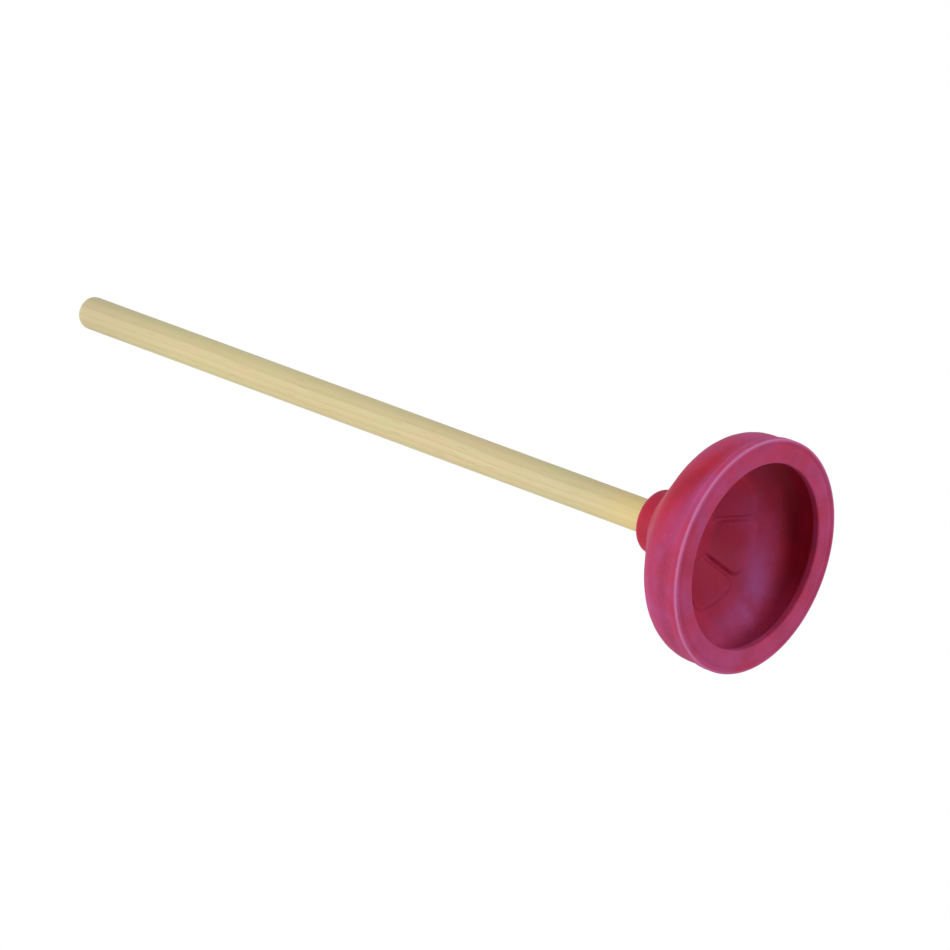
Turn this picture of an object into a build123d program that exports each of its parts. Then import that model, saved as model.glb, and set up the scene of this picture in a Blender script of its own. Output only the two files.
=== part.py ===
from build123d import *
import os
from math import radians, sin, tan

# Sink plunger: a red rubber force cup on a plain wooden handle.
# The cup stands on its lip. The origin is the centre of the lip's flat face, and +Z runs up the handle.
# Lengths are in millimetres and angles in degrees. Round shapes are outlines of
# (distance from the axis, height, corner rounding), turned about Z.

# Driving dimensions
cup_diameter = 125.0
mouth_diameter = 99.4
handle_diameter = 18.0
overall_length = 477.0
wall_thickness = 5.0

# Lip: the flat ring that seals against the basin, turned inwards past the side wall
rim_radius = cup_diameter / 2
mouth_radius = mouth_diameter / 2
lip_height = 5.5
lip_mouth_height = 3.8
rim_round = 0.8
mouth_round = 0.8

# Side wall: a shallow groove behind the lip, then a plain wall up to the shoulder
groove_radius = rim_radius - 1.6
groove_top = 9.0
side_radius = rim_radius - 0.9
side_round = 2.0
undercut_height = 9.5
undercut_round = 3.0

# Crown: a straight cone that meets the side wall in a round shoulder and ends round the neck
crown_angle = 50.8
shoulder_height = 22.4
shoulder_round = 16.0
crown_end_radius = 19.5
crown_slope = tan(radians(90.0 - crown_angle))
crown_end_height = shoulder_height + (side_radius - crown_end_radius) * crown_slope
crown_end_round = 1.0

# Pads: a ring raised off the crown's inner side, slit from its outer edge into rounded petals
pad_count = 7
first_pad = 90.0
pad_rise = 2.2
pad_outer_radius = 40.5
pad_end_slope = 2.0
pad_edge_round = 0.8
pad_root = 1.0
slit_start_radius = 22.0
slit_flare_radius = 34.0
slit_width = 1.2
slit_mouth_width = 9.0

# Neck: the closed socket and the bead collar round its mouth
neck_radius = 16.0
neck_gap = 0.3
neck_bottom = 40.0
neck_round = 3.0
collar_radius = 17.3
collar_bottom = crown_end_height + neck_gap
collar_top = 68.5
collar_low_round = 1.0
collar_top_round = 4.5

# Handle: a dowel with a domed end, whose other end is turned down in two steps to fit the socket
handle_radius = handle_diameter / 2
dome_round = 6.0
shaft_bottom = collar_top + 0.2
shaft_edge_round = 0.2
seat_radius = 8.7
seat_height = 65.5
tenon_radius = 7.8
tenon_bottom = 46.0
tenon_round = 1.5
turning_gap = 0.05
end_gap = 0.4
mouth_edge_round = 0.3


def turned(outline):
    """Turn an outline of (distance from the axis, height, corner rounding) about Z."""
    corners = [(radius, height) for radius, height, rounding in outline]
    roundings = [rounding for radius, height, rounding in outline]
    edge = FilletPolyline(*corners, radius=roundings, close=True)
    return revolve(Plane.XZ * make_face(edge), Axis.Z)


def crown_inside(radius, lift=0.0):
    """Height of the crown's inner side at a distance from the axis, or of a line lifted off it."""
    drop = (wall_thickness + lift) / sin(radians(crown_angle))
    return shoulder_height + (side_radius - radius) * crown_slope - drop


def bell_shell():
    """Lip, side wall, shoulder and crown, with the hole that the neck passes through."""
    inner_side = side_radius - wall_thickness
    hole_radius = neck_radius + neck_gap
    return turned([
        (mouth_radius, 0.0, mouth_round),
        (rim_radius, 0.0, rim_round),
        (rim_radius, lip_height, rim_round),
        (groove_radius, lip_height, 0.0),
        (groove_radius, groove_top, side_round),
        (side_radius, groove_top + side_round, side_round),
        (side_radius, shoulder_height, shoulder_round),
        (crown_end_radius, crown_end_height, crown_end_round),
        (hole_radius, crown_end_height, 0.0),
        (hole_radius, crown_inside(hole_radius), 0.0),
        (inner_side, crown_inside(inner_side), shoulder_round - wall_thickness),
        (inner_side, undercut_height, undercut_round),
        (mouth_radius, lip_mouth_height, mouth_round),
    ])


def pad_ring():
    """The raised ring on the crown's inner side, before it is slit into petals."""
    step = pad_end_slope
    hole_radius = neck_radius + neck_gap
    return turned([
        (pad_outer_radius, crown_inside(pad_outer_radius, -pad_root), 0.0),
        (pad_outer_radius, crown_inside(pad_outer_radius), 0.0),
        (pad_outer_radius - step, crown_inside(pad_outer_radius - step, pad_rise), pad_edge_round),
        (hole_radius, crown_inside(hole_radius, pad_rise), 0.0),
        (hole_radius, crown_inside(hole_radius, -pad_root), 0.0),
    ])


def pad_slit():
    """The gap between two petals, lying along +X. It flares where their outer corners are rounded off."""
    half_width = slit_width / 2
    half_mouth = slit_mouth_width / 2
    end_radius = pad_outer_radius + 1.0
    corners = [
        (slit_start_radius, -half_width),
        (slit_flare_radius, -half_width),
        (end_radius, -half_mouth),
        (end_radius, half_mouth),
        (slit_flare_radius, half_width),
        (slit_start_radius, half_width),
    ]
    return extrude(make_face(Polyline(*corners, close=True)), crown_end_height)


def cup_bell():
    """The flexing part of the cup: shell and pads in one solid."""
    pads = pad_ring()
    pitch = 360.0 / pad_count
    for index in range(pad_count):
        pads -= Rot(0, 0, first_pad + (index + 0.5) * pitch) * pad_slit()
    return bell_shell() + pads


def cup_neck():
    """The part of the cup that moves with the handle: closed socket and bead collar."""
    mouth_bore = seat_radius + turning_gap
    tenon_bore = tenon_radius + turning_gap
    return turned([
        (0.0, neck_bottom, 0.0),
        (neck_radius, neck_bottom, neck_round),
        (neck_radius, collar_bottom, 0.0),
        (collar_radius, collar_bottom, collar_low_round),
        (collar_radius, collar_top, collar_top_round),
        (mouth_bore, collar_top, mouth_edge_round),
        (mouth_bore, seat_height, 0.0),
        (tenon_bore, seat_height, 0.0),
        (tenon_bore, tenon_bottom - end_gap, 0.0),
        (0.0, tenon_bottom - end_gap, 0.0),
    ])


def handle():
    """The dowel: tenon and seat in the socket, straight shaft and domed end."""
    return turned([
        (0.0, tenon_bottom, 0.0),
        (tenon_radius, tenon_bottom, tenon_round),
        (tenon_radius, seat_height, 0.0),
        (seat_radius, seat_height, 0.0),
        (seat_radius, shaft_bottom, 0.0),
        (handle_radius, shaft_bottom, shaft_edge_round),
        (handle_radius, overall_length, dome_round),
        (0.0, overall_length, 0.0),
    ])


os.makedirs("parts", exist_ok=True)
export_step(cup_bell(), "parts/cup_bell.step")
export_step(cup_neck(), "parts/cup_neck.step")
export_step(handle(), "parts/handle.step")
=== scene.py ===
import bpy
import bmesh
import math
from mathutils import Matrix, Quaternion, Vector, noise


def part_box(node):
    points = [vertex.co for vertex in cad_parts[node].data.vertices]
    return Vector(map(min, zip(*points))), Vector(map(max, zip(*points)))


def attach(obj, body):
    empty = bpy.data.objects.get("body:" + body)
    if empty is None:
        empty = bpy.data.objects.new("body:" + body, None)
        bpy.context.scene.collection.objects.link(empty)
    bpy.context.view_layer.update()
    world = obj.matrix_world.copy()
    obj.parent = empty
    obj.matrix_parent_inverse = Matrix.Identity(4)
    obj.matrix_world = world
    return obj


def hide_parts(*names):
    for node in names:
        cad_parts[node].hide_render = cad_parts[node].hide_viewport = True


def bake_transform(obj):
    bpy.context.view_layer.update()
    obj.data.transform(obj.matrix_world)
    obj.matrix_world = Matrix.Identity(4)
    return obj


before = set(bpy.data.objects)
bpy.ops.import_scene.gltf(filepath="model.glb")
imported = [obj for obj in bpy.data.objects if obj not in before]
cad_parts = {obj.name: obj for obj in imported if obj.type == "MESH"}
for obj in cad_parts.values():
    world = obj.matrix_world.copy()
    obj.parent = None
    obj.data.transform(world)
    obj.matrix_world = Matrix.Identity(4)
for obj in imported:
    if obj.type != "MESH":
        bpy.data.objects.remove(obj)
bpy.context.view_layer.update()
mm = 0.001

bellLow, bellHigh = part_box("cup_bell")
neckLow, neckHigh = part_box("cup_neck")
handleLow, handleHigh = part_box("handle")
print("frame loaded, object is", round(handleHigh.z, 3), "m tall")


# turned skins, which the cup and the handle both are
turningSet = {
    "onAxis": 0.01 * mm,                # a point nearer the axis than this lies on it
    "arcStep": math.radians(11),        # the most that a rounded corner turns from point to point
    "fewestArcSteps": 3,
}


def polar(radius, angle, height):
    return Vector((radius * math.cos(angle), radius * math.sin(angle), height))


def smooth(value):
    value = min(max(value, 0.0), 1.0)
    return value * value * (3 - 2 * value)


def turnBetween(angle, other):
    return (angle - other + math.pi) % (2 * math.pi) - math.pi


def addObject(name, data):
    made = bpy.data.objects.new(name, data)
    bpy.context.scene.collection.objects.link(made)
    return made


def roundedCorner(before, corner, after):
    # the points that round off one corner of an outline
    here = Vector(corner[:2])
    rounding = corner[2]
    if rounding == 0:
        return [here]
    back = (Vector(before[:2]) - here).normalized()
    on = (Vector(after[:2]) - here).normalized()
    half = back.angle(on) / 2
    centre = here + (back + on).normalized() * rounding / math.sin(half)
    arm = here + back * rounding / math.tan(half) - centre
    turn = arm.angle_signed(here + on * rounding / math.tan(half) - centre)
    steps = max(turningSet["fewestArcSteps"], math.ceil(abs(turn) / turningSet["arcStep"]))
    return [centre + Matrix.Rotation(-turn * step / steps, 2) @ arm for step in range(steps + 1)]


def roundedOutline(corners):
    # corners are (radius, height, rounding, spacing of the run that follows), from axis to axis
    spots = [(Vector(corners[0][:2]), corners[0][3])]
    for before, corner, after in zip(corners, corners[1:], corners[2:]):
        spots += [(spot, corner[3]) for spot in roundedCorner(before, corner, after)]
    spots.append((Vector(corners[-1][:2]), corners[-1][3]))
    line = []
    for (start, spacing), (end, _) in zip(spots, spots[1:]):
        pieces = max(1, math.ceil((end - start).length / spacing))
        line += [start.lerp(end, piece / pieces) for piece in range(pieces)]
    return line + [spots[-1][0]]


def spun(name, line, turns, place, paint=None):
    # turns an outline into a closed skin; place(radius, angle, height) says where each point really goes
    build = bmesh.new()
    rings = []
    painted = []
    for radius, height in line:
        count = 1 if radius < turningSet["onAxis"] else turns
        angles = [2 * math.pi * spoke / turns for spoke in range(count)]
        rings.append([build.verts.new(place(radius, angle, height)) for angle in angles])
        painted += [paint(radius, angle, height) if paint else 0.0 for angle in angles]
    for low, high in zip(rings, rings[1:]):
        for spoke in range(turns):
            following = spoke + 1
            lowPair = [low[spoke % len(low)], low[following % len(low)]]
            highPair = [high[following % len(high)], high[spoke % len(high)]]
            build.faces.new(list(dict.fromkeys(lowPair + highPair)))     # a triangle next to the axis
    bmesh.ops.recalc_face_normals(build, faces=build.faces)
    for face in build.faces:
        face.smooth = True
    mesh = bpy.data.meshes.new(name)
    build.to_mesh(mesh)
    build.free()
    # patterns follow the rest place, so they stay put when rubber bends
    rest = mesh.attributes.new("restPlace", "FLOAT_VECTOR", "POINT")
    for point, vertex in zip(rest.data, mesh.vertices):
        point.vector = vertex.co
    mesh.attributes.new("bloomAndSheenAmount", "FLOAT", "POINT").data.foreach_set("value", painted)
    return addObject(name, mesh)


def dented(radius, angle, height, surface):
    # no real surface is quite true, so this pulls it in by up to the piece's unevenness
    around = surface["dentsAround"]
    spot = Vector((math.cos(angle) * around, math.sin(angle) * around, height * surface["dentsAlong"]))
    return radius - surface["unevenness"] * (0.5 + 0.5 * noise.noise(spot))


cameraSet = {
    "aim": (-0.0104, 0.0, 0.1879),
    "distance": 4.579,
    "azimuth": math.radians(4.0),
    "elevation": math.radians(-37.68),
    "roll": math.radians(-69.67),
    "lens": 332.3,
    "sensorWidth": 36,
    "clipEnd": 20,
}


def makeCamera():
    data = bpy.data.cameras.new("studioCamera")
    data.lens = cameraSet["lens"]
    data.sensor_width = cameraSet["sensorWidth"]
    data.clip_end = cameraSet["clipEnd"]
    camera = addObject("studioCamera", data)
    swing = cameraSet["azimuth"]
    lift = cameraSet["elevation"]
    back = Vector((math.sin(swing) * math.cos(lift), -math.cos(swing) * math.cos(lift), math.sin(lift)))
    aim = Matrix.Rotation(swing, 3, "Z") @ Vector(cameraSet["aim"])
    camera.location = aim + back * cameraSet["distance"]
    camera.rotation_mode = "QUATERNION"
    roll = Quaternion((0, 0, 1), cameraSet["roll"])
    camera.rotation_quaternion = (-back).to_track_quat("-Z", "Y") @ roll
    bpy.context.scene.camera = camera


lightSet = {
    # name: (direction from the cup, distance, size, watts, colour)
    "overheadSoftbox": ((0.74, -0.58, 0.16), 3.6, 2.4, 4, (0.65, 0.95, 1.0)),
    "topSoftbox": ((-0.15, -0.62, 0.77), 4.0, 2.6, 30, (0.97, 0.98, 1.0)),
    "sideSoftbox": ((-0.45, -0.84, 0.26), 3.8, 2.2, 62, (1.0, 0.97, 0.93)),
    "mouthSoftbox": ((0.30, -0.20, -0.93), 1.8, 0.7, 8.9, (1.0, 0.98, 0.96)),
}


def addLamp(name, place, facing, size, watts, colour):
    data = bpy.data.lights.new(name, "AREA")
    data.shape = "DISK"
    data.size = size
    data.energy = watts
    data.color = colour
    lamp = addObject(name, data)
    lamp.location = place
    lamp.rotation_mode = "QUATERNION"
    lamp.rotation_quaternion = facing.to_track_quat("-Z", "Y")
    lamp.visible_camera = False
    return lamp


def makeLights():
    cupMiddle = Vector((0, 0, bellHigh.z / 2))
    for name, (direction, distance, size, watts, colour) in lightSet.items():
        way = Vector(direction).normalized()
        addLamp(name, cupMiddle + way * distance, -way, size, watts, colour)


# short ways to add shader nodes; a feed is either a socket to link from or a fixed value
def put(tree, kind, feeds=None, **settings):
    node = tree.nodes.new(kind)
    for name, value in settings.items():
        setattr(node, name, value)
    for key, value in (feeds or {}).items():
        if isinstance(value, bpy.types.NodeSocket):
            tree.links.new(value, node.inputs[key])
        else:
            node.inputs[key].default_value = value
    return node


def calc(tree, operation, *values):
    return put(tree, "ShaderNodeMath", dict(enumerate(values)), operation=operation).outputs[0]


def calcVector(tree, operation, *values):
    node = put(tree, "ShaderNodeVectorMath", dict(enumerate(values)), operation=operation)
    return node.outputs["Value" if operation in ("LENGTH", "DOT_PRODUCT") else "Vector"]


def remap(tree, value, fromMin=0.0, fromMax=1.0, toMin=0.0, toMax=1.0, kind="LINEAR"):
    feeds = {"Value": value, "From Min": fromMin, "From Max": fromMax, "To Min": toMin, "To Max": toMax}
    return put(tree, "ShaderNodeMapRange", feeds, interpolation_type=kind).outputs[0]


def opaque(colour):
    return colour if isinstance(colour, bpy.types.NodeSocket) else (*colour, 1)


def blendColour(tree, mask, under, over, strength=1.0):
    if strength != 1.0:
        mask = calc(tree, "MULTIPLY", mask, strength)
    feeds = {0: mask, 6: opaque(under), 7: opaque(over)}        # a Mix node's colours are its sockets 6 and 7
    return put(tree, "ShaderNodeMix", feeds, data_type="RGBA").outputs[2]


def mixShaders(tree, share, first, second):
    return put(tree, "ShaderNodeMixShader", {0: share, 1: first.outputs[0], 2: second.outputs[0]}).outputs[0]


def newMaterial(name):
    material = bpy.data.materials.new(name)
    material.use_nodes = True
    material.node_tree.nodes.clear()
    return material, material.node_tree


worldSet = {
    "seen": (1, 1, 1),
    "light": (0.90, 0.95, 1.0),
    "strength": 0.80,
    "darkSide": (-0.30, -0.74, -0.60),      # less light comes from this direction
    "darkFrom": 0.62,                       # cosines of the angle from it where the dimming starts and ends
    "darkTo": 0.96,
    "darkShare": 0.95,
}


def makeWorld():
    world = bpy.data.worlds.new("studioWorld")
    world.use_nodes = True
    tree = world.node_tree
    tree.nodes.clear()
    path = put(tree, "ShaderNodeLightPath")
    way = put(tree, "ShaderNodeTexCoord")
    along = calcVector(tree, "DOT_PRODUCT", way.outputs["Generated"], worldSet["darkSide"])
    full = worldSet["strength"]
    dimmed = full * (1 - worldSet["darkShare"])
    glow = remap(tree, along, worldSet["darkFrom"], worldSet["darkTo"], full, dimmed, kind="SMOOTHSTEP")
    light = put(tree, "ShaderNodeBackground", {"Color": opaque(worldSet["light"]), "Strength": glow})
    seen = put(tree, "ShaderNodeBackground", {"Color": opaque(worldSet["seen"]), "Strength": 1.0})
    mixed = mixShaders(tree, path.outputs["Is Camera Ray"], light, seen)
    put(tree, "ShaderNodeOutputWorld", {"Surface": mixed})
    bpy.context.scene.world = world


floorSet = {
    "radius": 3.2,
    "segments": 96,
    "gap": 0.2 * mm,                # how far the paper lies below the lip
    "colour": (0.61, 0.60, 0.585),
    "roughness": 0.9,
    "fadeStart": 0.5,               # the paper fades out between these distances
    "fadeEnd": 2.6,
    "lampPlace": (0.35, 0.25, 1.5),
    "lampSize": 0.45,
    "lampWatts": 16,
    "lampColour": (1, 1, 1),
}


def palePaper():
    # clear from below and far out
    material, tree = newMaterial("palePaper")
    where = put(tree, "ShaderNodeTexCoord")
    away = calcVector(tree, "LENGTH", where.outputs["Object"])
    fade = remap(tree, away, floorSet["fadeStart"], floorSet["fadeEnd"], kind="SMOOTHSTEP")
    side = put(tree, "ShaderNodeNewGeometry")
    clear = calc(tree, "MAXIMUM", side.outputs["Backfacing"], fade)
    paper = put(tree, "ShaderNodeBsdfPrincipled", {
        "Base Color": opaque(floorSet["colour"]), "Roughness": floorSet["roughness"]})
    gone = put(tree, "ShaderNodeBsdfTransparent")
    put(tree, "ShaderNodeOutputMaterial", {"Surface": mixShaders(tree, clear, paper, gone)})
    return material


def lightFloor(floor):
    # a lamp that lights only the paper, so the cup's shadow grounds it
    place = Vector(floorSet["lampPlace"])
    size = floorSet["lampSize"]
    lamp = addLamp("floorLamp", place, -place, size, floorSet["lampWatts"], floorSet["lampColour"])
    lit = bpy.data.collections.new("litByFloorLamp")
    lit.objects.link(floor)
    lamp.light_linking.receiver_collection = lit


def makeFloor():
    build = bmesh.new()
    bmesh.ops.create_circle(build, cap_ends=True, radius=floorSet["radius"], segments=floorSet["segments"])
    mesh = bpy.data.meshes.new("studioFloor")
    build.to_mesh(mesh)
    build.free()
    mesh.materials.append(palePaper())
    floor = addObject("studioFloor", mesh)
    floor.location.z = bellLow.z - floorSet["gap"]
    floor.visible_shadow = False
    floor.visible_diffuse = False
    floor.visible_glossy = False
    floor.visible_transmission = False
    lightFloor(floor)


makeCamera()
makeWorld()
makeLights()
makeFloor()
bpy.context.scene.view_settings.view_transform = "Standard"
print("camera, lights and floor are in place")


# node groups for the rubber and the wood
def newGroup(name, takes, gives):
    tree = bpy.data.node_groups.new(name, "ShaderNodeTree")
    for label, kind, value in takes:
        socket = tree.interface.new_socket(name=label, in_out="INPUT", socket_type="NodeSocket" + kind)
        if value is not None:
            socket.default_value = value
    for label in gives:
        tree.interface.new_socket(name=label, in_out="OUTPUT", socket_type="NodeSocketFloat")
    return tree, put(tree, "NodeGroupInput").outputs


def patchGroup():          # soft uneven areas
    tree, take = newGroup("unevenPatches", [
        ("Place", "Vector", None),
        ("Scale", "Float", 30.0),
        ("Detail", "Float", 3.0),
        ("Low", "Float", 0.4),
        ("High", "Float", 0.6),
    ], ["Mask"])
    cloud = put(tree, "ShaderNodeTexNoise", {
        "Vector": take["Place"], "Scale": take["Scale"], "Detail": take["Detail"], "Roughness": 0.55})
    mask = remap(tree, cloud.outputs["Fac"], take["Low"], take["High"], kind="SMOOTHSTEP")
    put(tree, "NodeGroupOutput", {"Mask": mask})
    return tree


def grainGroup():          # fine texture, which may be stretched along the piece
    tree, take = newGroup("fineGrain", [
        ("Place", "Vector", None),
        ("Stretch", "Vector", (1, 1, 1)),
        ("Scale", "Float", 900.0),
        ("Sharpness", "Float", 0.6),
    ], ["Tone", "Height"])
    broadShare = 0.23      # scale of the broader texture under the fine one
    drawn = calcVector(tree, "MULTIPLY", take["Place"], take["Stretch"])
    fine = put(tree, "ShaderNodeTexNoise", {
        "Vector": drawn, "Scale": take["Scale"], "Detail": 4.0, "Roughness": take["Sharpness"]})
    wide = calc(tree, "MULTIPLY", take["Scale"], broadShare)
    broad = put(tree, "ShaderNodeTexNoise", {"Vector": drawn, "Scale": wide, "Detail": 2.0})
    tone = remap(tree, fine.outputs["Fac"], 0.3, 0.7)
    height = calc(tree, "ADD", fine.outputs["Fac"], broad.outputs["Fac"])
    put(tree, "NodeGroupOutput", {"Tone": tone, "Height": height})
    return tree


def bandGroup():           # a soft ragged ring round the axis, for rubbed edges with painted highlights, and bands of tone on the wood
    tree, take = newGroup("ringBand", [
        ("Place", "Vector", None),
        ("Radius", "Float", 0.06),
        ("Height", "Float", 0.0),
        ("Width", "Float", 0.002),
        ("Raggedness", "Float", 0.4),
    ], ["Mask"])
    parts = put(tree, "ShaderNodeSeparateXYZ", {0: take["Place"]})
    out = calcVector(tree, "LENGTH", calcVector(tree, "MULTIPLY", take["Place"], (1, 1, 0)))
    offOut = calc(tree, "SUBTRACT", out, take["Radius"])
    offUp = calc(tree, "SUBTRACT", parts.outputs["Z"], take["Height"])
    off = put(tree, "ShaderNodeCombineXYZ", {0: offOut, 1: offUp})
    away = calcVector(tree, "LENGTH", off.outputs[0])
    cloud = put(tree, "ShaderNodeTexNoise", {"Vector": take["Place"], "Scale": 260.0, "Detail": 3.0})
    rag = calc(tree, "MULTIPLY_ADD", cloud.outputs["Fac"], take["Raggedness"], 1.0)
    torn = calc(tree, "MULTIPLY", away, rag)
    mask = remap(tree, torn, take["Width"], 0.0, kind="SMOOTHSTEP")
    put(tree, "NodeGroupOutput", {"Mask": mask})
    return tree


def speckGroup():          # scattered small spots: dust on rubber, open pores in wood
    tree, take = newGroup("scatteredSpecks", [
        ("Place", "Vector", None),
        ("Stretch", "Vector", (1, 1, 1)),
        ("Scale", "Float", 700.0),
        ("Size", "Float", 0.2),
        ("Thinning", "Float", 0.6),
    ], ["Mask"])
    drawn = calcVector(tree, "MULTIPLY", take["Place"], take["Stretch"])
    cells = put(tree, "ShaderNodeTexVoronoi", {"Vector": drawn, "Scale": take["Scale"]})
    spot = remap(tree, cells.outputs["Distance"], take["Size"], 0.0)
    pick = put(tree, "ShaderNodeSeparateColor", {0: cells.outputs["Color"]})
    few = calc(tree, "GREATER_THAN", pick.outputs[0], take["Thinning"])
    put(tree, "NodeGroupOutput", {"Mask": calc(tree, "MULTIPLY", spot, few)})
    return tree


groups = {"patches": patchGroup(), "grain": grainGroup(), "band": bandGroup(), "specks": speckGroup()}


def placed(tree, name, feeds):
    return put(tree, "ShaderNodeGroup", feeds, node_tree=groups[name]).outputs


def restPlace(tree):
    return put(tree, "ShaderNodeAttribute", None, attribute_name="restPlace").outputs["Vector"]


def ringMarks(tree, place, colour, rings, colours):
    # rings are (radius, height, width, strength, name of the colour)
    for radius, height, width, strength, tint in rings:
        band = placed(tree, "band", {"Place": place, "Radius": radius, "Height": height, "Width": width})
        colour = blendColour(tree, band["Mask"], colour, colours[tint], strength)
    return colour


rubberSet = {
    "deepRed": (0.39, 0.011, 0.029),
    "freshRed": (0.47, 0.012, 0.034),
    # the bloom's purple, also used for painted sheen
    "bloomAndSheenPurple": (0.48, 0.115, 0.36),
    # pink of rubbed edges, also used for a painted highlight
    "wearAndHighlightPink": (0.60, 0.160, 0.350),
    "dust": (0.60, 0.36, 0.42),
    "mottle": {"Scale": 55.0, "Detail": 4.0, "Low": 0.36, "High": 0.64},
    "cloud": {"Scale": 42.0, "Detail": 5.0, "Low": 0.34, "High": 0.66},
    "cloudThin": 0.50,              # how far the bloom is cut down and built up by the cloud
    "cloudThick": 1.20,
    "bloomAndSheenStrength": 0.45,
    "specks": {"Scale": 520.0, "Size": 0.22, "Thinning": 0.72},
    "speckStrength": 0.20,
    "grain": {"Scale": 1400.0},
    "roughness": 0.50,
    "bloomRoughness": 0.22,         # added where the bloom is full
    "grainRoughness": 0.08,
    "bump": 0.25,
    "bumpDepth": 0.12 * mm,
    "specular": 0.17,
    "sheen": 0.05,
    "sheenRoughness": 0.45,
    "sheenTint": (0.85, 0.70, 1.0),
    "wearAndHighlightRings": [
        # (radius, height, width, strength, colour) of rubbed edges, lightened also as a painted highlight on
        # the rim's outer edge and the collar's foot
        (bellHigh.x, 0.2 * mm, 2.1 * mm, 1.0, "wearAndHighlightPink"),
        (neckHigh.x, bellHigh.z, 2.2 * mm, 0.40, "wearAndHighlightPink"),
        (neckHigh.x - 1.5 * mm, neckHigh.z - 1.5 * mm, 2.4 * mm, 0.08, "wearAndHighlightPink"),
    ],
}


def redRubber():
    rubber = rubberSet
    material, tree = newMaterial("redRubber")
    place = restPlace(tree)
    mottle = placed(tree, "patches", {"Place": place, **rubber["mottle"]})
    colour = blendColour(tree, mottle["Mask"], rubber["deepRed"], rubber["freshRed"])
    cloud = placed(tree, "patches", {"Place": place, **rubber["cloud"]})
    # bloomAndSheenAmount holds the pale bloom and painted sheen: a painted sheen band inside the cup, and
    # painted sheen mixed into the outer bloom
    amount = put(tree, "ShaderNodeAttribute", None, attribute_name="bloomAndSheenAmount").outputs["Fac"]
    uneven = remap(tree, cloud["Mask"], toMin=rubber["cloudThin"], toMax=rubber["cloudThick"])
    bloomAndSheenShare = calc(tree, "MULTIPLY", amount, uneven)
    colour = blendColour(tree, bloomAndSheenShare, colour, rubber["bloomAndSheenPurple"], rubber["bloomAndSheenStrength"])
    # rubbed edges, with a painted highlight along the rim's outer edge and the collar's foot
    colour = ringMarks(tree, place, colour, rubber["wearAndHighlightRings"], rubber)
    specks = placed(tree, "specks", {"Place": place, **rubber["specks"]})
    colour = blendColour(tree, specks["Mask"], colour, rubber["dust"], rubber["speckStrength"])
    grain = placed(tree, "grain", {"Place": place, **rubber["grain"]})
    roughest = rubber["roughness"] + rubber["bloomRoughness"]
    rough = remap(tree, bloomAndSheenShare, toMin=rubber["roughness"], toMax=roughest)
    rough = calc(tree, "MULTIPLY_ADD", grain["Tone"], rubber["grainRoughness"], rough)
    bump = put(tree, "ShaderNodeBump", {
        "Height": grain["Height"], "Strength": rubber["bump"], "Distance": rubber["bumpDepth"]})
    shader = put(tree, "ShaderNodeBsdfPrincipled", {
        "Base Color": colour,
        "Roughness": rough,
        "Normal": bump.outputs[0],
        "Specular IOR Level": rubber["specular"],
        "Sheen Weight": rubber["sheen"],
        "Sheen Roughness": rubber["sheenRoughness"],
        "Sheen Tint": opaque(rubber["sheenTint"]),
    })
    put(tree, "ShaderNodeOutputMaterial", {"Surface": shader.outputs[0]})
    return material


woodSet = {
    "pale": (0.68, 0.59, 0.32),
    "warm": (0.64, 0.50, 0.24),
    "streak": (0.55, 0.38, 0.19),
    "pore": (0.36, 0.24, 0.12),
    # a dusky brown for the dark band at the collar and the darkening towards the tip
    "duskyBrown": (0.42, 0.34, 0.22),
    "honey": (0.78, 0.58, 0.20),
    "tan": (0.74, 0.52, 0.30),
    "olive": (0.58, 0.58, 0.26),
    "treeHeart": (0.055, -0.034, 0.0),      # where the middle of the tree was
    "ringsPerMetre": 260.0,
    "ringTones": [(0.55, 0.25), (0.88, 1.0)],       # (share of the way across a ring, darkness)
    "ringStretch": (1, 1, 0.012),
    "ringStrength": 0.45,
    "wanderScale": 7.0,                     # how the rings stray along the grain
    "wander": (0.006, 0.006, 0.0),
    "tone": {"Scale": 190.0, "Detail": 3.0, "Low": 0.38, "High": 0.66},
    "toneStrength": 0.55,
    "patchStretch": (2.2, 2.2, 0.8),
    "patches": [(38.0, "tan"), (53.0, "olive")],    # (scale, colour)
    "patchEdges": {"Low": 0.48, "High": 0.66},
    "patchStrength": 0.50,
    "fibre": {"Stretch": (1, 1, 0.06), "Scale": 900.0, "Sharpness": 0.7},
    "fibreStrength": 0.35,
    "pores": {"Stretch": (1, 1, 0.06), "Scale": 900.0, "Size": 0.30, "Thinning": 0.55},
    "poreStrength": 0.45,
    "poreRise": -0.8,
    "roughness": 0.52,
    "fibreSmoother": 0.05,
    "fibreRougher": 0.14,
    "bump": 0.35,
    "bumpDepth": 0.15 * mm,
    "specular": 0.4,
    "toneBands": [
        # (radius, height, width, strength, colour): a honey tone by the collar, a dark band where the handle
        # enters it, and darker towards the tip
        (handleHigh.x, neckHigh.z, 60 * mm, 0.55, "honey"),
        (handleHigh.x, neckHigh.z, 4 * mm, 0.30, "duskyBrown"),
        (0.0, handleHigh.z, 110 * mm, 0.32, "duskyBrown"),
    ],
}


def yearRings(tree, place):
    # a mask of the rings, and the place that they were worked out from
    wood = woodSet
    wander = put(tree, "ShaderNodeTexNoise", {"Vector": place, "Scale": wood["wanderScale"], "Detail": 2.0})
    shift = calcVector(tree, "MULTIPLY", wander.outputs["Color"], wood["wander"])
    moved = calcVector(tree, "ADD", place, shift)
    fromHeart = calcVector(tree, "SUBTRACT", moved, wood["treeHeart"])
    flat = calcVector(tree, "MULTIPLY", fromHeart, wood["ringStretch"])
    count = calc(tree, "MULTIPLY", calcVector(tree, "LENGTH", flat), wood["ringsPerMetre"])
    mask = put(tree, "ShaderNodeValToRGB", {0: calc(tree, "FRACT", count)})
    tones = mask.color_ramp.elements
    tones[0].color = (0, 0, 0, 1)
    tones[1].color = (0, 0, 0, 1)
    for share, darkness in wood["ringTones"]:
        tones.new(share).color = (darkness, darkness, darkness, 1)
    return mask.outputs[0], flat


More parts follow.
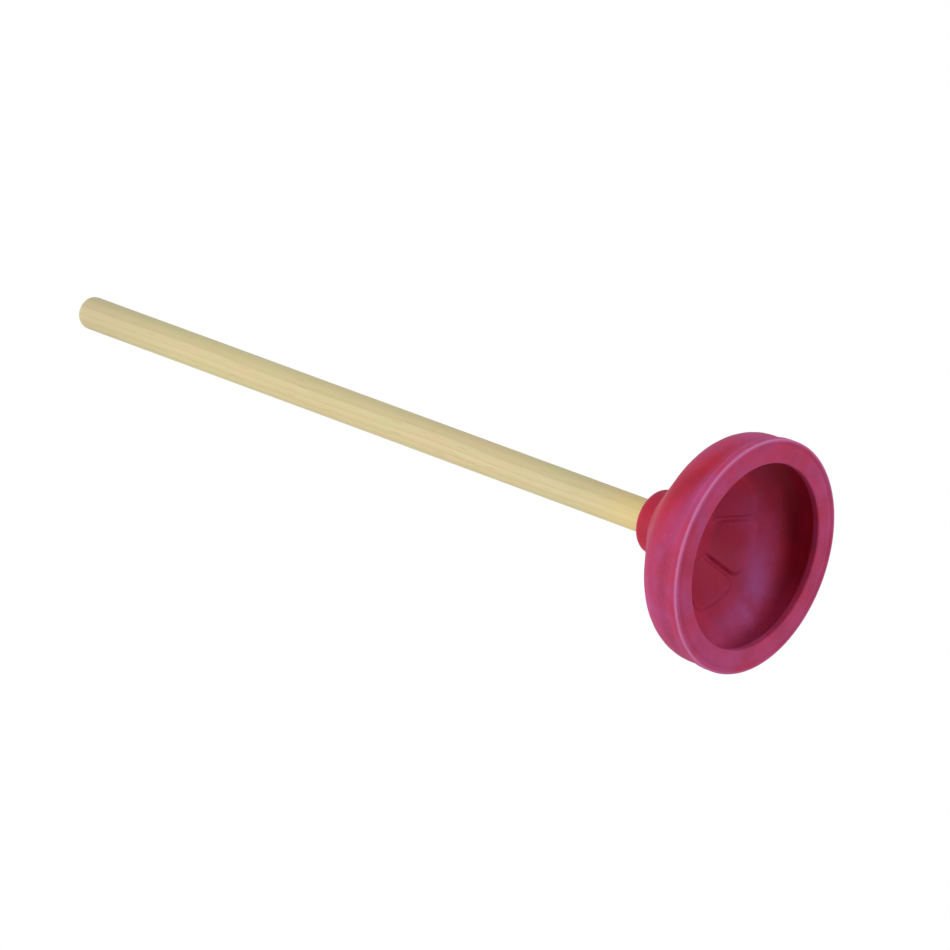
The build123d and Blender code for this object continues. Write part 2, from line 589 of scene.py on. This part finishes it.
def paleWood():
    wood = woodSet
    material, tree = newMaterial("paleWood")
    place = restPlace(tree)
    rings, flat = yearRings(tree, place)
    tone = placed(tree, "patches", {"Place": flat, **wood["tone"]})
    colour = blendColour(tree, tone["Mask"], wood["pale"], wood["warm"], wood["toneStrength"])
    drawn = calcVector(tree, "MULTIPLY", place, wood["patchStretch"])
    for scale, tint in wood["patches"]:
        patch = placed(tree, "patches", {"Place": drawn, "Scale": scale, **wood["patchEdges"]})
        colour = blendColour(tree, patch["Mask"], colour, wood[tint], wood["patchStrength"])
    colour = blendColour(tree, rings, colour, wood["streak"], wood["ringStrength"])
    fibre = placed(tree, "grain", {"Place": place, **wood["fibre"]})
    colour = blendColour(tree, fibre["Tone"], colour, wood["warm"], wood["fibreStrength"])
    pores = placed(tree, "specks", {"Place": place, **wood["pores"]})
    colour = blendColour(tree, pores["Mask"], colour, wood["pore"], wood["poreStrength"])
    colour = ringMarks(tree, place, colour, wood["toneBands"], wood)
    smoothest = wood["roughness"] - wood["fibreSmoother"]
    roughest = wood["roughness"] + wood["fibreRougher"]
    rough = remap(tree, fibre["Tone"], toMin=smoothest, toMax=roughest)
    rise = calc(tree, "MULTIPLY_ADD", pores["Mask"], wood["poreRise"], fibre["Height"])
    bump = put(tree, "ShaderNodeBump", {
        "Height": rise, "Strength": wood["bump"], "Distance": wood["bumpDepth"]})
    shader = put(tree, "ShaderNodeBsdfPrincipled", {
        "Base Color": colour,
        "Roughness": rough,
        "Normal": bump.outputs[0],
        "Specular IOR Level": wood["specular"],
    })
    put(tree, "ShaderNodeOutputMaterial", {"Surface": shader.outputs[0]})
    return material


# the rubber cup is one moulding of lip, bell, neck and collar
cupSet = {
    "turns": 288,
    "bossRadius": 16 * mm,
    "bossRound": 3 * mm,
    "bossRootRound": 4.5 * mm,
    "wall": 5.0 * mm,
    "undercutHeight": 9.5 * mm,
    "undercutRound": 3 * mm,
    "mouthRadius": 49.7 * mm,
    "mouthRound": 0.9 * mm,
    "lipMouthHeight": 3.8 * mm,
    "lipHeight": 5.5 * mm,
    "lipBackRound": 1.2 * mm,
    "rimRound": 0.6 * mm,
    # the shallow line inside the rim, as (distance in from the rim, depth, rounding)
    "rimLine": [(5.0 * mm, 0, 3.0 * mm), (3.0 * mm, 0.60 * mm, 1.2 * mm), (1.6 * mm, 0, 0.6 * mm)],
    "grooveDepth": 1.6 * mm,
    "grooveStartRound": 0.7 * mm,
    "grooveTop": 9.0 * mm,
    "grooveRunOut": 4 * mm,
    "grooveRound": 8 * mm,
    "sideInset": 0.9 * mm,
    "shoulderHeight": 22.4 * mm,
    "shoulderRound": 16 * mm,
    "crownEndRadius": 19.5 * mm,
    "crownEndRound": 1.0 * mm,
    "waistRadius": 16.6 * mm,
    "waistRise": 0.1 * mm,
    "waistRound": 0.4 * mm,
    "collarRise": 0.9 * mm,
    "collarLowRound": 1.0 * mm,
    "collarTopRound": 4.5 * mm,
    "seatBore": 8.75 * mm,
    "seatHeight": 65.5 * mm,
    "tenonBore": 7.85 * mm,
    "socketFloor": 45.6 * mm,
    "boreRound": 0.3 * mm,
    "seatRound": 0.2 * mm,
    "unevenFrom": 1 * mm,           # unevenness starts this far inside the mouth's radius
    "unevenness": 0.12 * mm,
    "dentsAround": 1.6,
    "dentsAlong": 28.8,
}
sideRadius = bellHigh.x - cupSet["sideInset"]
crownSlope = (bellHigh.z - cupSet["shoulderHeight"]) / (sideRadius - cupSet["crownEndRadius"])
crownLean = math.hypot(1, crownSlope)          # length of crown per unit of radius


def crownOutside(radius):
    return cupSet["shoulderHeight"] + (sideRadius - radius) * crownSlope


def crownInside(radius):
    return crownOutside(radius) - cupSet["wall"] * crownLean


def cupOutline():
    cup = cupSet
    boss = cup["bossRadius"]
    inner = sideRadius - cup["wall"]
    mouth = cup["mouthRadius"]
    rim = bellHigh.x
    groove = rim - cup["grooveDepth"]
    tight, fine, medium, wide = 0.5 * mm, 0.8 * mm, 1.3 * mm, 2.2 * mm      # spacings
    return roundedOutline([
        (0, neckLow.z, 0, wide),
        (boss, neckLow.z, cup["bossRound"], medium),
        (boss, crownInside(boss), cup["bossRootRound"], fine),
        (inner, crownInside(inner), cup["shoulderRound"] - cup["wall"], medium),
        (inner, cup["undercutHeight"], cup["undercutRound"], medium),
        (mouth, cup["lipMouthHeight"], cup["mouthRound"], medium),
        (mouth, 0, cup["mouthRound"], medium),
        *[(rim - inset, depth, rounding, medium) for inset, depth, rounding in cup["rimLine"]],
        (rim, 0, cup["rimRound"], medium),
        (rim, cup["lipHeight"], cup["lipBackRound"], medium),
        (groove, cup["lipHeight"], cup["grooveStartRound"], medium),
        (groove, cup["grooveTop"], cup["grooveRound"], medium),
        (sideRadius, cup["grooveTop"] + cup["grooveRunOut"], cup["grooveRound"], medium),
        (sideRadius, cup["shoulderHeight"], cup["shoulderRound"], wide),
        (cup["crownEndRadius"], bellHigh.z, cup["crownEndRound"], tight),
        (cup["waistRadius"], bellHigh.z + cup["waistRise"], cup["waistRound"], tight),
        (neckHigh.x, bellHigh.z + cup["collarRise"], cup["collarLowRound"], medium),
        (neckHigh.x, neckHigh.z, cup["collarTopRound"], medium),
        (cup["seatBore"], neckHigh.z, cup["boreRound"], medium),
        (cup["seatBore"], cup["seatHeight"], cup["seatRound"], medium),
        (cup["tenonBore"], cup["seatHeight"], cup["seatRound"], wide),
        (cup["tenonBore"], cup["socketFloor"], cup["boreRound"], wide),
        (0, cup["socketFloor"], 0, wide),
    ])


padSet = {
    "count": 7,
    "turn": math.radians(90),       # one pad is centred on +Y
    "rise": 2.2 * mm,
    "outerRadius": 40.5 * mm,
    "slitStart": 20 * mm,
    "slitFull": 27 * mm,
    "slitWidth": 0.9 * mm,
    "cornerRound": 6.5 * mm,
    "edgeSoftness": 1.7 * mm,
    "skinSlack": 0.2 * mm,          # a point this far above the crown's inner line still counts as on it
    "fadeDepth": 3 * mm,            # the lift dies out as the skin drops this far below that line
}


def padHeight(radius, angle):
    # a raised ring, slit from its outer edge into petals with rounded corners
    pad = padSet
    pitch = 2 * math.pi / pad["count"]
    fromSlit = pitch / 2 - abs((angle - pad["turn"] + pitch / 2) % pitch - pitch / 2)
    toSide = radius * math.sin(fromSlit) - pad["slitWidth"] / 2
    toEnd = (pad["outerRadius"] - radius) * crownLean
    corner = pad["cornerRound"]
    inside = min(toSide, toEnd)
    if toSide < corner and toEnd < corner:
        inside = corner - math.hypot(corner - toSide, corner - toEnd)
    cut = 1 - smooth(inside / pad["edgeSoftness"])
    opened = smooth((radius - pad["slitStart"]) / (pad["slitFull"] - pad["slitStart"]))
    return pad["rise"] * (1 - cut * opened)


def cupPlace(radius, angle, height):
    pad = padSet
    depth = crownInside(radius) - height
    underPads = cupSet["bossRadius"] < radius < pad["outerRadius"]
    if underPads and -pad["skinSlack"] < depth < pad["fadeDepth"]:
        lift = padHeight(radius, angle) * (1 - smooth(depth / pad["fadeDepth"])) / crownLean
        radius -= lift * crownSlope
        height -= lift
    if radius > cupSet["mouthRadius"] - cupSet["unevenFrom"]:
        radius = dented(radius, angle, height, cupSet)
    return polar(radius, angle, height)


# how much pale bloom the rubber carries, with painted sheen mixed in: most on the side wall and lip, least on
# the collar, and a painted sheen band inside
bloomAndSheenSet = {
    "lip": 0.76,
    "side": 0.90,
    "crown": 0.45,
    "collar": 0.10,
    "bareAt": math.radians(-58),           # where the side wall is left with little bloom and painted sheen, halfway up
    "bareLean": math.radians(-2.5) / mm,
    "bareHeight": 13 * mm,
    "bareLeanEnd": 19.5 * mm,              # the bare place leans round the cup up to this height
    "bareSpread": math.radians(28),
    "bareShare": 0.95,
    "bareFrom": 5 * mm,
    "bareTo": 11 * mm,
    "paintedSheenRing": 1.7,                       # a painted sheen band inside, along part of the wall
    "paintedSheenRingRadius": 50.5 * mm,
    "paintedSheenRingLean": 10 * mm,               # how much wider it gets per radian
    "paintedSheenRingWidth": 6.5 * mm,
    "paintedSheenRingAt": math.radians(124),
    "paintedSheenRingSpread": math.radians(52),
    "innerWall": 0.12,
    "floor": 0.32,
}


def bloomAndSheenOutside(angle, height):
    # bloom with painted sheen on the outside, left bare in one patch of the side wall
    bloom = bloomAndSheenSet
    rise = smooth((height - cupSet["shoulderHeight"]) / (bellHigh.z - cupSet["shoulderHeight"]))
    amount = bloom["side"] + (bloom["crown"] - bloom["side"]) * rise
    leaning = min(height, bloom["bareLeanEnd"]) - bloom["bareHeight"]
    off = turnBetween(angle, bloom["bareAt"] + bloom["bareLean"] * leaning)
    leftBare = math.exp(-(off / bloom["bareSpread"]) ** 2)
    above = smooth((height - bloom["bareFrom"]) / (bloom["bareTo"] - bloom["bareFrom"]))
    return amount * (1 - bloom["bareShare"] * leftBare * above)


def bloomAndSheenInside(radius, angle):
    # pale bloom on the inner floor and wall, with a painted sheen band across part of the wall
    bloom = bloomAndSheenSet
    turn = turnBetween(angle, bloom["paintedSheenRingAt"])
    away = radius - (bloom["paintedSheenRingRadius"] + bloom["paintedSheenRingLean"] * turn)
    ring = math.exp(-(away / bloom["paintedSheenRingWidth"]) ** 2 - (turn / bloom["paintedSheenRingSpread"]) ** 2)
    base = bloom["innerWall"] if radius > bloom["paintedSheenRingRadius"] else bloom["floor"]
    return base + (bloom["paintedSheenRing"] - base) * ring


def bloomAndSheenHere(radius, angle, height):
    halfWall = cupSet["wall"] / 2
    if height > bellHigh.z:
        return bloomAndSheenSet["collar"]
    if height < cupSet["lipMouthHeight"]:
        return bloomAndSheenSet["lip"]
    if radius > sideRadius - halfWall or height > crownOutside(radius) - halfWall * crownLean:
        return bloomAndSheenOutside(angle, height)
    return bloomAndSheenInside(radius, angle)


def rubberCup():
    cup = spun("rubberCup", cupOutline(), cupSet["turns"], cupPlace, bloomAndSheenHere)
    cup.data.materials.append(redRubber())
    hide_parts("cup_bell", "cup_neck")
    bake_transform(cup)


handleSet = {
    "turns": 96,
    "tenonRadius": 7.8 * mm,
    "tenonRound": 1.5 * mm,
    "seatRadius": 8.7 * mm,
    "shaftBottom": neckHigh.z + 0.2 * mm,
    "shaftEdgeRound": 0.2 * mm,
    "domeRound": 6.0 * mm,
    "unevenness": 0.12 * mm,
    "dentsAround": 1.3,
    "dentsAlong": 9,
}


def handleOutline():
    dowel = handleSet
    thick = handleHigh.x
    seat = cupSet["seatHeight"]
    fine, medium, wide, widest = 1 * mm, 2 * mm, 3 * mm, 4 * mm      # spacings
    return roundedOutline([
        (0, handleLow.z, 0, medium),
        (dowel["tenonRadius"], handleLow.z, dowel["tenonRound"], wide),
        (dowel["tenonRadius"], seat, 0, fine),
        (dowel["seatRadius"], seat, 0, medium),
        (dowel["seatRadius"], dowel["shaftBottom"], 0, fine),
        (thick, dowel["shaftBottom"], dowel["shaftEdgeRound"], widest),
        (thick, handleHigh.z, dowel["domeRound"], fine),
        (0, handleHigh.z, 0, fine),
    ])


def handlePlace(radius, angle, height):
    if height > handleSet["shaftBottom"] and radius > handleSet["seatRadius"]:
        radius = dented(radius, angle, height, handleSet)
    return polar(radius, angle, height)


def woodHandle():
    handle = spun("woodHandle", handleOutline(), handleSet["turns"], handlePlace)
    handle.data.materials.append(paleWood())
    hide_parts("handle")
    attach(handle, "handle")


rubberCup()
print("rubber cup is moulded")
woodHandle()
print("wooden handle is turned")
